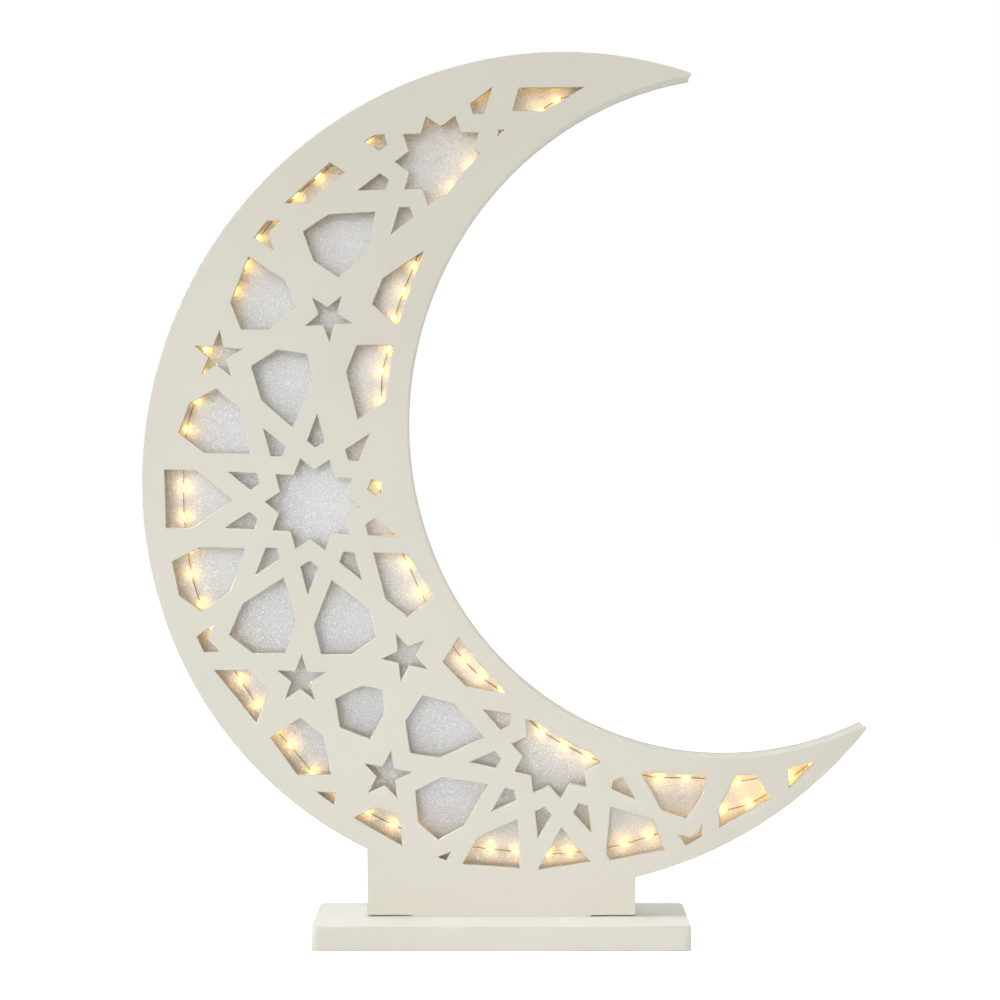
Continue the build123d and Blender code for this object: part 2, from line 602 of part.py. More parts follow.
# Box: floor and walls, lips over the cover's long edges, low wall where the cover slides out
with BuildPart() as battery_box:
    with BuildSketch(facing_front(BOX_BACK)):
        with Locations(((BOX_LEFT + BOX_RIGHT) / 2, BOX_MIDDLE)):
            RectangleRounded(BOX_LENGTH, BOX_HEIGHT, BOX_CORNER)
    extrude(amount=BOX_BACK - BODY_BACK)
    with BuildSketch(facing_front(LIP_FRONT)):
        draw_block(BAY_LEFT, BAY_RIGHT, BOX_MIDDLE - BAY_HALF, BOX_MIDDLE + BAY_HALF)
    extrude(amount=LIP_FRONT - BOX_FLOOR, mode=Mode.SUBTRACT)
    with BuildSketch(facing_front(BOX_BACK)):
        draw_block(BAY_LEFT, BOX_RIGHT, BOX_MIDDLE - LIP_HALF, BOX_MIDDLE + LIP_HALF)
    extrude(amount=BOX_LIP, mode=Mode.SUBTRACT)
    with BuildSketch(facing_front(LIP_FRONT)):
        draw_block(BAY_RIGHT, BOX_RIGHT, BOX_MIDDLE - BAY_HALF, BOX_MIDDLE + BAY_HALF)
    extrude(amount=LIP_FRONT - COVER_FRONT + COVER_CLEARANCE, mode=Mode.SUBTRACT)
    with BuildSketch(facing_front(SWITCH_BACK)):
        draw_block(BOX_LEFT + BOX_WALL, BAY_LEFT - BOX_WALL, BOX_MIDDLE - BAY_HALF, BOX_MIDDLE + BAY_HALF)
    extrude(amount=SWITCH_BACK - BODY_BACK, mode=Mode.SUBTRACT)
    with BuildSketch(facing_front(BOX_BACK)):
        draw_knob_slot()
    extrude(amount=BOX_WALL, mode=Mode.SUBTRACT)
    with Locations(*[Location((x, BOX_FLOOR, z), (-90, 0, 0)) for x, z in BOX_SCREW_SPOTS]):
        CounterSinkHole(BOX_SCREW_DIAMETER / 2 + FIT, BOX_SCREW_HEAD / 2 + FIT + HEAD_SINK, BOX_WALL)
battery_box.part.label = "battery_box"

# Cover: a tongue that runs under the lips, a raised field between them, and a ribbed thumb grip
COVER_LEFT = BAY_LEFT + COVER_CLEARANCE
TONGUE_HALF = BAY_HALF - COVER_CLEARANCE
FIELD_HALF = LIP_HALF - COVER_CLEARANCE
GRIP_START = BOX_RIGHT - GRIP_RIBS * GRIP_PITCH

with BuildPart() as battery_cover:
    with BuildSketch(facing_front(COVER_BACK)):
        draw_block(COVER_LEFT, BOX_RIGHT, BOX_MIDDLE - TONGUE_HALF, BOX_MIDDLE + TONGUE_HALF)
    extrude(amount=COVER_THICKNESS)
    with BuildSketch(facing_front(BOX_BACK)):
        draw_block(COVER_LEFT, BOX_RIGHT, BOX_MIDDLE - FIELD_HALF, BOX_MIDDLE + FIELD_HALF)
    extrude(amount=BOX_BACK - COVER_BACK)
    with BuildSketch(facing_front(BOX_BACK)):
        for rib in range(GRIP_RIBS):
            groove = GRIP_START + (rib - 0.5) * GRIP_PITCH
            draw_block(groove, groove + GRIP_PITCH / 2, BOX_MIDDLE - LIP_HALF / 2, BOX_MIDDLE + LIP_HALF / 2)
    extrude(amount=GRIP_DEPTH, mode=Mode.SUBTRACT)
battery_cover.part.label = "battery_cover"

# Two cells side by side, facing opposite ways
CELL_LEFT = BAY_LEFT + CONTACT_ROOM
CELL_RIGHT = CELL_LEFT + CELL_LENGTH


def draw_cell(height, nub_right):
    """One cell at a height, its positive nub to the right or to the left."""
    plus = CELL_RIGHT if nub_right else CELL_LEFT
    inward = -1 if nub_right else 1
    body_end = plus + inward * CELL_NUB_LENGTH
    minus = CELL_LEFT if nub_right else CELL_RIGHT
    with BuildSketch(Plane((body_end, CELL_Y, height), z_dir=(inward, 0, 0))) as can:
        Circle(CELL_DIAMETER / 2)
    extrude(can.sketch, amount=abs(body_end - minus))
    with BuildSketch(Plane((plus, CELL_Y, height), z_dir=(inward, 0, 0))) as nub:
        Circle(CELL_NUB_DIAMETER / 2)
    extrude(nub.sketch, amount=CELL_NUB_LENGTH)


UPPER_CELL = BOX_MIDDLE + CELL_PITCH / 2
LOWER_CELL = BOX_MIDDLE - CELL_PITCH / 2

with BuildPart() as cell_upper:
    draw_cell(UPPER_CELL, True)
cell_upper.part.label = "cell_upper"

with BuildPart() as cell_lower:
    draw_cell(LOWER_CELL, False)
cell_lower.part.label = "cell_lower"

CONTACT_HALF = CELL_DIAMETER / 2 - CONTACT_MARGIN
CONTACT_REACH = CONTACT_ROOM - CONTACT_GAP


def draw_contact(wall, inward, height, sprung):
    """One contact on a bay end: a raised pad for a nub, or a bowed leaf for a flat end."""
    end_wall = Plane((wall, CELL_Y, height), x_dir=(0, 1, 0), z_dir=(inward, 0, 0))
    with BuildSketch(end_wall) as plate:
        Rectangle(2 * CONTACT_HALF, 2 * CONTACT_HALF)
    extrude(plate.sketch, amount=CONTACT_SHEET)
    if sprung:
        with BuildSketch(Plane((wall, CELL_Y, height), x_dir=(inward, 0, 0), z_dir=(0, 0, 1))) as leaf:
            with BuildLine():
                foot = CONTACT_HALF - CONTACT_SHEET
                ThreePointArc((0, -CONTACT_HALF), (CONTACT_REACH, 0), (0, CONTACT_HALF))
                Line((0, CONTACT_HALF), (0, foot))
                ThreePointArc((0, foot), (CONTACT_REACH - CONTACT_SHEET, 0), (0, -foot))
                Line((0, -foot), (0, -CONTACT_HALF))
            make_face()
        extrude(leaf.sketch, amount=CONTACT_HALF / 2, both=True)
    else:
        with BuildSketch(end_wall) as pad:
            Circle(CELL_NUB_DIAMETER / 2)
        extrude(pad.sketch, amount=CONTACT_REACH)


# Contact strip that bridges the two cells at the right end
with BuildPart() as bridge_contact:
    draw_contact(BAY_RIGHT, -1, UPPER_CELL, False)
    draw_contact(BAY_RIGHT, -1, LOWER_CELL, True)
    with BuildSketch(Plane((BAY_RIGHT, CELL_Y, BOX_MIDDLE), x_dir=(0, 1, 0), z_dir=(-1, 0, 0))):
        Rectangle(CONTACT_HALF, CELL_PITCH)
    extrude(amount=CONTACT_SHEET)
bridge_contact.part.label = "bridge_contact"

# Separate contacts at the left end, which feed the switch and the string
with BuildPart() as feed_contacts:
    draw_contact(BAY_LEFT, 1, UPPER_CELL, True)
    draw_contact(BAY_LEFT, 1, LOWER_CELL, False)
feed_contacts.part.label = "feed_contacts"

# Slide switch: body under the rear wall with three pins, and the knob through the slot
with BuildPart() as switch_body:
    with BuildSketch(facing_front(SWITCH_BACK)):
        with Locations((SWITCH_X, BOX_MIDDLE)):
            Rectangle(SWITCH_LENGTH, SWITCH_WIDTH)
    extrude(amount=SWITCH_DEPTH)
    with BuildSketch(facing_front(SWITCH_BACK)):
        draw_knob_slot()
    extrude(amount=SWITCH_DEPTH / 2, mode=Mode.SUBTRACT)
    with BuildSketch(facing_front(SWITCH_FRONT)):
        with Locations((SWITCH_X, BOX_MIDDLE)):
            with GridLocations(SWITCH_PIN_PITCH, 0, 3, 1):
                Rectangle(SWITCH_PIN, SWITCH_PIN)
    extrude(amount=SWITCH_PIN_LENGTH)
switch_body.part.label = "switch_body"

# Knob at the on end of its slot
KNOB_X = SWITCH_X - SWITCH_TRAVEL / 2

with BuildPart() as switch_knob:
    with BuildSketch(facing_front(BOX_BACK + KNOB_PROUD)):
        with Locations((KNOB_X, BOX_MIDDLE)):
            Rectangle(KNOB_LENGTH, KNOB_WIDTH)
    extrude(amount=KNOB_PROUD + BOX_WALL + SWITCH_DEPTH / 2 - KNOB_CLEARANCE)
    chamfer(switch_knob.faces().sort_by(Axis.Y)[-1].edges(), length=KNOB_CLEARANCE)
switch_knob.part.label = "switch_knob"

PIECES = [
    front_panel, back_panel, outer_rim_left, outer_rim_right, inner_rim, upper_tip_block, lower_tip_block,
    neck_wall_left, neck_wall_right, neck_block, glitter_sheet, light_wire, led_beads, glue_dots,
    base_plinth, base_screws, battery_box, battery_cover, box_screws, cell_upper, cell_lower,
    bridge_contact, feed_contacts, switch_body, switch_knob,
]
for piece in PIECES:
    export_step(piece.part, f"parts/{piece.part.label}.step")
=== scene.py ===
# %% [markdown]
# # A light-up crescent, dressed around its CAD model
# The ornament is a hollow crescent of painted board on a small plinth. Its front board is pierced with a
# ten-fold star pattern. Glitter card lines the back, and a string of tiny warm lights is glued to it.
# The CAD model gives every size and place. It is loaded as a fixed frame, and this lesson gives each
# piece its paint, its softened edges and its light.

# %% Load the frame
from math import atan2, pi, radians

import bpy
from mathutils import Matrix, Vector


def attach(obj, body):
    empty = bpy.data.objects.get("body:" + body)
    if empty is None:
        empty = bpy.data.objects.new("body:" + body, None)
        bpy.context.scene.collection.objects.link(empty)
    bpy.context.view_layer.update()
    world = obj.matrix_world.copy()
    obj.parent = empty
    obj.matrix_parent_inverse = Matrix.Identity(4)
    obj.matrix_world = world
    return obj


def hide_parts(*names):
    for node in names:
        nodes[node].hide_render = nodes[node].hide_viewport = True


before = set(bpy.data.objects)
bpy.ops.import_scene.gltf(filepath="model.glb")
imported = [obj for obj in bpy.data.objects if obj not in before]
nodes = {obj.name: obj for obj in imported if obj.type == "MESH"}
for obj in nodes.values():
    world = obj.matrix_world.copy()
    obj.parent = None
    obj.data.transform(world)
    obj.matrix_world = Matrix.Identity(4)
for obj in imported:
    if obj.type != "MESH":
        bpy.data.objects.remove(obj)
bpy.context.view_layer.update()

MM = 0.001

# %% [markdown]
# ## The camera
# A photograph fixes three things: where the lens was, where it pointed and how much it took in. The four
# upper corners of the plinth and the outline of the crescent give all three: the lens stood level with
# the middle of the crescent, 1.45 m away, and looked almost straight ahead. A long lens keeps the
# verticals straight, and a small shift moves the frame down without tipping the camera further.

# %% Camera
EYE = Vector((3.1, -1453.7, 219.3)) * MM
PITCH = -0.28
YAW = 0.148
LENS = 115.62
FRAME_SHIFT = -0.03

bpy.ops.object.camera_add(location=EYE, rotation=(radians(90 + PITCH), 0, radians(YAW)))
camera = bpy.context.object
camera.data.lens = LENS
camera.data.shift_y = FRAME_SHIFT
bpy.context.scene.camera = camera
print("frame width at the crescent in mm:", round(-EYE.y / MM * camera.data.sensor_width / LENS))

# %% [markdown]
# ## Helpers for materials
# Colours are written as sRGB hex, as a paint program shows them, but shaders count in linear light, so
# one function converts them. A second one adds a node and fills its inputs: a socket is linked, a plain
# value is set. Every material reads Object coordinates, which here are metres in the object's frame, so
# a pattern's scale is one over its real size.

# %% Colour and node helpers


def linear(code):
    """Linear RGBA of an sRGB hex colour."""
    parts = [int(code[i:i + 2], 16) / 255 for i in (0, 2, 4)]
    return [p / 12.92 if p <= 0.04045 else ((p + 0.055) / 1.055) ** 2.4 for p in parts] + [1.0]


def add_node(tree, kind, settings, inputs):
    """Add a node with its settings; each input is a value to set or an output to link from."""
    node = tree.nodes.new(kind)
    for name, value in settings.items():
        setattr(node, name, value)
    for name, value in inputs.items():
        if isinstance(value, bpy.types.NodeSocket):
            tree.links.new(value, node.inputs[name])
        else:
            node.inputs[name].default_value = value
    return node


def new_material(name):
    """A material with its node tree, its Principled shader and the Object coordinates."""
    material = bpy.data.materials.new(name)
    material.use_nodes = True
    tree = material.node_tree
    place = add_node(tree, "ShaderNodeTexCoord", {}, {}).outputs["Object"]
    return material, tree, tree.nodes["Principled BSDF"], place


def per_mm(size):
    """Texture scale that gives a pattern a real size in millimetres."""
    return 1 / (size * MM)


print("half grey in linear light:", round(linear("808080")[0], 3))

# %% [markdown]
# ## Off-white paint on board and strip
# The boards are MDF and the rim is thin bent strip, both rolled with matt emulsion. Rolled paint is not
# quite even: it clouds over a hand's width and has a fine stipple from the nap of the roller. The cloud
# goes into the colour and roughness, the stipple into the bump. The nap is near 0.5 mm in truth and is
# drawn at 1.1 mm, because anything finer vanishes between the pixels.

# %% Paint
CLOUD_SIZE = 70
NAP_SIZE = 1.1


def rolled_paint(name, darker, lighter):
    """Matt rolled emulsion between two close shades."""
    material, tree, shader, place = new_material(name)
    cloud = add_node(tree, "ShaderNodeTexNoise", {}, {
        "Vector": place, "Scale": per_mm(CLOUD_SIZE), "Detail": 3.0})
    tint = add_node(tree, "ShaderNodeMix", {"data_type": "RGBA"}, {
        0: cloud.outputs["Fac"], 6: linear(darker), 7: linear(lighter)})
    sheen = add_node(tree, "ShaderNodeMapRange", {}, {
        "Value": cloud.outputs["Fac"], "To Min": 0.62, "To Max": 0.48})
    nap = add_node(tree, "ShaderNodeTexNoise", {}, {
        "Vector": place, "Scale": per_mm(NAP_SIZE), "Detail": 2.0})
    stipple = add_node(tree, "ShaderNodeBump", {}, {
        "Height": nap.outputs["Fac"], "Strength": 0.12, "Distance": 0.05 * MM})
    tree.links.new(tint.outputs[2], shader.inputs["Base Color"])
    tree.links.new(sheen.outputs["Result"], shader.inputs["Roughness"])
    tree.links.new(stipple.outputs["Normal"], shader.inputs["Normal"])
    return material


BOARD_SHADES = ("D8D3C4", "E0DBCE")
STRIP_SHADES = ("DAD6C8", "E2DED1")

board_paint = rolled_paint("matt emulsion on MDF", *BOARD_SHADES)
strip_paint = rolled_paint("matt emulsion on bent strip", *STRIP_SHADES)
print("paints:", board_paint.name, "and", strip_paint.name)

# %% [markdown]
# ## The bare back of the pierced board
# Only what shows is painted. The pierced board's rear face is shut inside the crescent and stays bare
# brown MDF, mottled every couple of millimetres by its matted fibres. It drinks up the warm light that
# would otherwise wash round the hollow. Its normal points to the back, so the normal chooses between paint
# and bare board.

# %% Paint in front, bare board behind
FIBRE_SIZE = 2

pierced_paint = rolled_paint("matt emulsion on MDF with a bare back", *BOARD_SHADES)
tree = pierced_paint.node_tree
shader = tree.nodes["Principled BSDF"]
painted = shader.inputs["Base Color"].links[0].from_socket
place = add_node(tree, "ShaderNodeTexCoord", {}, {}).outputs["Object"]
fibres = add_node(tree, "ShaderNodeTexNoise", {}, {
    "Vector": place, "Scale": per_mm(FIBRE_SIZE), "Detail": 4.0})
bare = add_node(tree, "ShaderNodeMix", {"data_type": "RGBA"}, {
    0: fibres.outputs["Fac"], 6: linear("B0936C"), 7: linear("C9AE88")})
facing = add_node(tree, "ShaderNodeNewGeometry", {}, {})
turned = add_node(tree, "ShaderNodeSeparateXYZ", {}, {"Vector": facing.outputs["Normal"]})
behind = add_node(tree, "ShaderNodeMapRange", {}, {
    "Value": turned.outputs["Y"], "From Min": 0.8, "From Max": 0.9})
finish = add_node(tree, "ShaderNodeMix", {"data_type": "RGBA"}, {
    0: behind.outputs["Result"], 6: painted, 7: bare.outputs[2]})
tree.links.new(finish.outputs[2], shader.inputs["Base Color"])
print("bare back:", pierced_paint.name)

# %% [markdown]
# ## Glitter card
# Glitter is a scatter of tiny foil flakes, each tilted its own way, stuck on white card. A Voronoi
# texture gives one cell per flake; its random colour sets the flake's silver tone and tips its normal.
# The top of that colour ramp is painted glint: the few flakes turned near white stand in for flakes
# catching the light. Real flakes are 0.2 to 0.4 mm, drawn at 0.4 mm so that they still show as a
# fine grain.

# %% Glitter
FLAKE_SIZE = 0.4
FLAKE_TILT = 0.08

glitter, tree, shader, place = new_material("silver-white glitter on card")
flakes = add_node(tree, "ShaderNodeTexVoronoi", {}, {"Vector": place, "Scale": per_mm(FLAKE_SIZE)})
split = add_node(tree, "ShaderNodeSeparateColor", {}, {"Color": flakes.outputs["Color"]})
# Low on the ramp is the flakes' own pale silver; its near-white top is painted glint on a few flakes.
flake_tone_and_glint = add_node(tree, "ShaderNodeValToRGB", {}, {"Fac": split.outputs["Red"]})
flake_tone_and_glint.color_ramp.elements[0].color = linear("C6CBCF")
flake_tone_and_glint.color_ramp.elements[1].color = linear("F6F9FA")
flake_tone_and_glint.color_ramp.elements.new(0.75).color = linear("CED3D6")
flake_tone_and_glint.color_ramp.elements.new(0.9).color = linear("DFE4E7")
geometry = add_node(tree, "ShaderNodeNewGeometry", {}, {})
lean = add_node(tree, "ShaderNodeVectorMath", {"operation": "MULTIPLY_ADD"}, {
    0: flakes.outputs["Color"], 1: (2 * FLAKE_TILT,) * 3, 2: (-FLAKE_TILT,) * 3})
tipped = add_node(tree, "ShaderNodeVectorMath", {"operation": "ADD"}, {
    0: geometry.outputs["Normal"], 1: lean.outputs["Vector"]})
facing = add_node(tree, "ShaderNodeVectorMath", {"operation": "NORMALIZE"}, {0: tipped.outputs["Vector"]})
tree.links.new(flake_tone_and_glint.outputs["Color"], shader.inputs["Base Color"])
tree.links.new(facing.outputs["Vector"], shader.inputs["Normal"])
shader.inputs["Metallic"].default_value = 0.15
shader.inputs["Roughness"].default_value = 0.35
nodes["glitter_sheet"].data.materials[0] = glitter
print("flakes per centimetre of card:", round(10 / FLAKE_SIZE))

# %% [markdown]
# ## Softened boards
# The boards in the CAD model have knife-sharp edges. Real ones are sanded and then painted, so each edge
# is rounded by a fraction of a millimetre and catches a thin line of light. A copy of the CAD mesh is
# merged, its triangles are dissolved into flat faces, and a Bevel modifier rounds what is left sharp.
# Faces that lie square to an axis are shaded flat, so the rounding doesn't bleed over them.

# %% Helpers that copy and soften
# The weld is in mm and the three angles are in degrees. SQUARE is the cosine of a face square to an axis.
WELD = 0.001
FLAT_WITHIN = 0.5
SHARP_FROM = 30
SMOOTH_BELOW = 50
SQUARE = 0.9999


def only(piece):
    """Leave one piece selected and active."""
    bpy.ops.object.select_all(action="DESELECT")
    piece.select_set(True)
    bpy.context.view_layer.objects.active = piece


def dress(piece, material, body):
    """Give a piece its finish and the body it moves with."""
    piece.data.materials.clear()
    piece.data.materials.append(material)
    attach(piece, body)


def softened(node, name, rounding, material, body="ornament"):
    """Copy of a CAD node with its sharp edges rounded, in place of that node."""
    piece = bpy.data.objects.new(name, nodes[node].data.copy())
    bpy.context.collection.objects.link(piece)
    only(piece)
    bpy.ops.object.mode_set(mode="EDIT")
    bpy.ops.mesh.select_all(action="SELECT")
    bpy.ops.mesh.remove_doubles(threshold=WELD * MM)
    bpy.ops.mesh.customdata_custom_splitnormals_clear()
    bpy.ops.mesh.dissolve_limited(angle_limit=radians(FLAT_WITHIN))
    bpy.ops.object.mode_set(mode="OBJECT")
    edge = piece.modifiers.new("rounded edge", "BEVEL")
    edge.width = rounding * MM
    edge.segments = 2
    edge.limit_method = "ANGLE"
    edge.angle_limit = radians(SHARP_FROM)
    edge.use_clamp_overlap = False
    edge.loop_slide = False
    bpy.ops.object.modifier_apply(modifier=edge.name)
    bpy.ops.object.shade_smooth_by_angle(angle=radians(SMOOTH_BELOW))
    for face in piece.data.polygons:
        if max(abs(part) for part in face.normal) > SQUARE:
            face.use_smooth = False
    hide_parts(node)
    print(name, "faces:", len(piece.data.polygons))
    dress(piece, material, body)


# %% Boards and rim
PAINT_ROUND = 0.35
STRIP_ROUND = 0.25

softened("front_panel", "pierced_board", PAINT_ROUND, pierced_paint)
softened("back_panel", "back_board", PAINT_ROUND, board_paint)
softened("base_plinth", "plinth_board", PAINT_ROUND, board_paint)
for node in ("outer_rim_left", "outer_rim_right", "inner_rim", "upper_tip_block", "lower_tip_block",
             "neck_wall_left", "neck_wall_right"):
    softened(node, node + "_strip", STRIP_ROUND, strip_paint)

# %% [markdown]
# ## The light string's wire
# The string is two hair-thin lacquered copper wires laid together, drawn here as one. Its route runs up
# the outer edge, down the inner edge to the lower tip and back along the bottom. A NURBS spline takes the
# route's points as control points, so the wire bends softly past each light. A round bevel gives it
# thickness and it is then made a mesh. The places are in mm: X and Z of the runs, and X, Y and Z of the
# lead from the battery box.

# %% Wire route
WIRE_Y = 10.6
OUTER_RUN = [
    (-38.5, 46.0), (-49.4, 50.1), (-61.2, 56.1), (-73.1, 64.2), (-86.2, 73.8), (-96.4, 86.4),
    (-102.9, 93.5), (-111.5, 105.1), (-119.1, 116.1), (-126.0, 128.1), (-132.2, 140.4), (-137.2, 150.7),
    (-141.7, 164.7), (-143.0, 176.2), (-144.8, 190.6), (-145.0, 204.1), (-144.8, 217.5), (-143.9, 230.8),
    (-139.5, 244.3), (-136.6, 255.8), (-134.8, 267.3), (-128.8, 281.8), (-121.7, 294.4), (-116.4, 305.8),
    (-110.7, 317.9), (-102.3, 328.3), (-93.6, 337.3), (-83.3, 346.1), (-72.7, 354.8), (-61.3, 363.0),
    (-49.4, 370.3), (-37.0, 376.3), (-24.0, 381.5), (-10.7, 385.1), (2.6, 388.1), (15.4, 390.1),
    (27.7, 391.1),
]
UPPER_TURN = [(37.3, 390.5), (42.2, 387.5), (40.6, 383.9), (33.9, 383.2)]
INNER_RUN = [
    (25.4, 381.0), (17.5, 375.8), (6.2, 368.5), (-4.7, 360.3), (-13.9, 351.6), (-22.3, 341.1),
    (-29.4, 330.1), (-35.0, 317.9), (-39.8, 305.4), (-44.8, 293.6), (-48.8, 281.3), (-51.3, 267.3),
    (-54.5, 257.3), (-54.9, 243.8), (-56.0, 231.3), (-56.5, 218.0), (-55.8, 205.2), (-53.1, 192.4),
    (-48.5, 180.2), (-42.5, 169.2), (-37.0, 156.6), (-31.3, 145.9), (-24.9, 135.4), (-17.4, 125.3),
    (-9.5, 117.6), (-0.1, 111.5), (9.0, 101.7), (18.4, 92.7), (28.7, 86.6), (39.5, 81.4),
    (50.4, 77.1), (61.4, 73.4), (72.3, 71.6), (84.2, 72.0), (95.6, 71.1), (107.7, 69.8),
    (119.3, 72.0), (130.2, 74.8),
]
LOWER_TURN = [(137.5, 81.0), (142.2, 83.4), (145.0, 82.9), (145.2, 81.0)]
LOWER_RUN = [
    (141.5, 78.8), (131.6, 71.6), (122.9, 65.6), (113.1, 59.6), (101.2, 56.8), (89.7, 51.9),
    (78.3, 48.3), (67.4, 45.0), (56.0, 41.5), (43.5, 38.8), (31.4, 37.5), (21.2, 36.7),
    (6.7, 38.1), (-5.2, 39.3), (-17.1, 40.6),
]
LEAD = [(-29.25, 28.7, 32.0), (-29.25, 23.35, 31.0), (-29.25, WIRE_Y, 31.0), (-34.25, WIRE_Y, 44.0)]
flat_route = OUTER_RUN + UPPER_TURN + INNER_RUN + LOWER_TURN + LOWER_RUN
route = [Vector(point) * MM for point in LEAD] + [Vector((x, WIRE_Y, z)) * MM for x, z in flat_route]
print("route points:", len(route))

# %% Wire
WIRE_ROUND = 0.2

curve = bpy.data.curves.new("wire_route", "CURVE")
curve.dimensions = "3D"
spline = curve.splines.new("NURBS")
spline.points.add(len(route) - 1)
for point, spot in zip(spline.points, route):
    point.co = (*spot, 1)
spline.order_u = 3
spline.use_endpoint_u = True
curve.resolution_u = 6
curve.bevel_depth = WIRE_ROUND * MM
curve.bevel_resolution = 1
curve.use_fill_caps = True
wire = bpy.data.objects.new("string_wire", curve)
bpy.context.collection.objects.link(wire)
only(wire)
bpy.ops.object.convert(target="MESH")
wire = bpy.context.object
bpy.ops.object.shade_smooth()
print("wire faces:", len(wire.data.polygons))

# %% [markdown]
# ## Lacquered copper
# The enamel on fine winding wire is a thin amber varnish over bright copper, so it is metallic, brownish
# and a little uneven where it was bent by hand.

# %% Wire finish
BEND_SIZE = 6

copper, tree, shader, place = new_material("amber enamel on copper wire")
bends = add_node(tree, "ShaderNodeTexNoise", {}, {
    "Vector": place, "Scale": per_mm(BEND_SIZE), "Detail": 2.0})
hue = add_node(tree, "ShaderNodeMix", {"data_type": "RGBA"}, {
    0: bends.outputs["Fac"], 6: linear("7A5F42"), 7: linear("A5865A")})
tree.links.new(hue.outputs[2], shader.inputs["Base Color"])
shader.inputs["Metallic"].default_value = 0.8
shader.inputs["Roughness"].default_value = 0.4
dress(wire, copper, "ornament")
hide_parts("light_wire")

# %% [markdown]
# ## Resin drops
# Each light is a chip the size of a sand grain, soldered to the wire and sealed in a drop of clear resin.
# The resin draws out along the wire at both ends. One drop is shaped from a sphere: stretched along the
# wire, then its ends are pulled out thin. It is copied to every light, turned to follow the wire, and
# the copies are joined.

# %% One drop
DROP_ROUND = 1.3
DROP_STRETCH = 1.25
NECK_START = 0.85
NECK_PULL = 0.55
NECK_THIN = 0.6

bpy.ops.object.select_all(action="DESELECT")
bpy.ops.mesh.primitive_uv_sphere_add(segments=12, ring_count=9, radius=DROP_ROUND * MM)
drop = bpy.context.object
bpy.ops.object.mode_set(mode="EDIT")
bpy.ops.transform.resize(value=(1, 1, DROP_STRETCH))
bpy.ops.mesh.select_all(action="DESELECT")
bpy.ops.object.mode_set(mode="OBJECT")
for end in (-1, 1):
    for vertex in drop.data.vertices:
        vertex.select = end * vertex.co.z > NECK_START * DROP_ROUND * DROP_STRETCH * MM
    bpy.ops.object.mode_set(mode="EDIT")
    bpy.ops.mesh.select_mode(type="VERT")
    bpy.ops.transform.translate(value=(0, 0, end * NECK_PULL * MM))
    bpy.ops.transform.resize(value=(NECK_THIN, NECK_THIN, 1))
    bpy.ops.mesh.select_all(action="DESELECT")
    bpy.ops.object.mode_set(mode="OBJECT")
only(drop)
bpy.ops.object.shade_smooth()
print("drop length in mm:", round(drop.dimensions.z / MM, 2))

# %% All drops


def along(run, i):
    """Place on point i of a run, with Z along the wire."""
    before, after = run[max(i - 1, 0)], run[min(i + 1, len(run) - 1)]
    lean = atan2(after[0] - before[0], after[1] - before[1])
    return Matrix.Translation(Vector((run[i][0], WIRE_Y, run[i][1])) * MM) @ Matrix.Rotation(lean, 4, "Y")


def joined_copies(name, model, places):
    """One piece made of a copy of the model at each place; the model itself is removed."""
    copies = []
    for place in places:
        copy = bpy.data.objects.new("copy", model.data.copy())
        bpy.context.collection.objects.link(copy)
        copy.matrix_world = place
        copies.append(copy)
    bpy.data.objects.remove(model)
    bpy.context.view_layer.update()
    whole = bpy.data.objects.new(name, bpy.data.meshes.new(name))
    bpy.context.collection.objects.link(whole)
    only(whole)
    for copy in copies:
        copy.select_set(True)
    bpy.ops.object.join()
    print(name, "copies:", len(copies), "faces:", len(whole.data.polygons))
    return whole


lights = [along(run, i) for run in (OUTER_RUN, INNER_RUN, LOWER_RUN) for i in range(len(run))]
drops = joined_copies("resin_drops", drop, lights)

# %% [markdown]
# ## Lit resin
# Warm-white chips give light near 2400 K, which is strongly amber in linear light. The chip lies on the
# card's side of the wire and shines onto the card and sideways, so the back of each drop is the lamp and
# its front only glows. The surface normal tells the two apart: one ramp over its Y sets the colour, cream
# in front and amber elsewhere, and a second one sets the strength.

# %% Lit resin
GLOW = 22.0
FRONT_SHARE = 0.08
SIDE_SHARES = ((0.25, 0.036), (0.44, 0.036), (0.52, 1.0), (0.75, 0.75))
BACK_SHARE = 0.3

resin, tree, shader, _ = new_material("clear resin round a lit chip")
outward = add_node(tree, "ShaderNodeNewGeometry", {}, {})
depth = add_node(tree, "ShaderNodeSeparateXYZ", {}, {"Vector": outward.outputs["Normal"]})
turned = add_node(tree, "ShaderNodeMapRange", {}, {
    "Value": depth.outputs["Y"], "From Min": -1.0, "From Max": 1.0})
hue = add_node(tree, "ShaderNodeValToRGB", {}, {"Fac": turned.outputs["Result"]})
hue.color_ramp.elements[0].color = linear("FFF1C0")
hue.color_ramp.elements[1].color = linear("FFC65E")
hue.color_ramp.elements.new(0.25).color = linear("FFCE70")
reach = add_node(tree, "ShaderNodeValToRGB", {}, {"Fac": turned.outputs["Result"]})
reach.color_ramp.elements[0].color = (FRONT_SHARE,) * 3 + (1,)
reach.color_ramp.elements[1].color = (BACK_SHARE,) * 3 + (1,)
for spot, share in SIDE_SHARES:
    reach.color_ramp.elements.new(spot).color = (share,) * 3 + (1,)
strength = add_node(tree, "ShaderNodeMapRange", {}, {"Value": reach.outputs["Color"], "To Max": GLOW})
tree.links.new(hue.outputs["Color"], shader.inputs["Emission Color"])
tree.links.new(strength.outputs["Result"], shader.inputs["Emission Strength"])
shader.inputs["Base Color"].default_value = linear("F4E3BC")
shader.inputs["Roughness"].default_value = 0.12
dress(drops, resin, "ornament")
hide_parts("led_beads")
print("glow at the sides:", GLOW)

# %% [markdown]
# ## Dots of hot glue
# The wire is held to the card by small dots of hot-melt glue, behind solid parts of the pattern. A dot
# is set molten and slumps into a low dome. One dome is half a sphere, cut with bisect and flattened. It
# is copied to each place, turned and stretched a little so that no two are alike.

# %% One dome
CARD_FRONT = 14.5
GLUE_ROUND = 2.9
GLUE_HIGH = 4.4

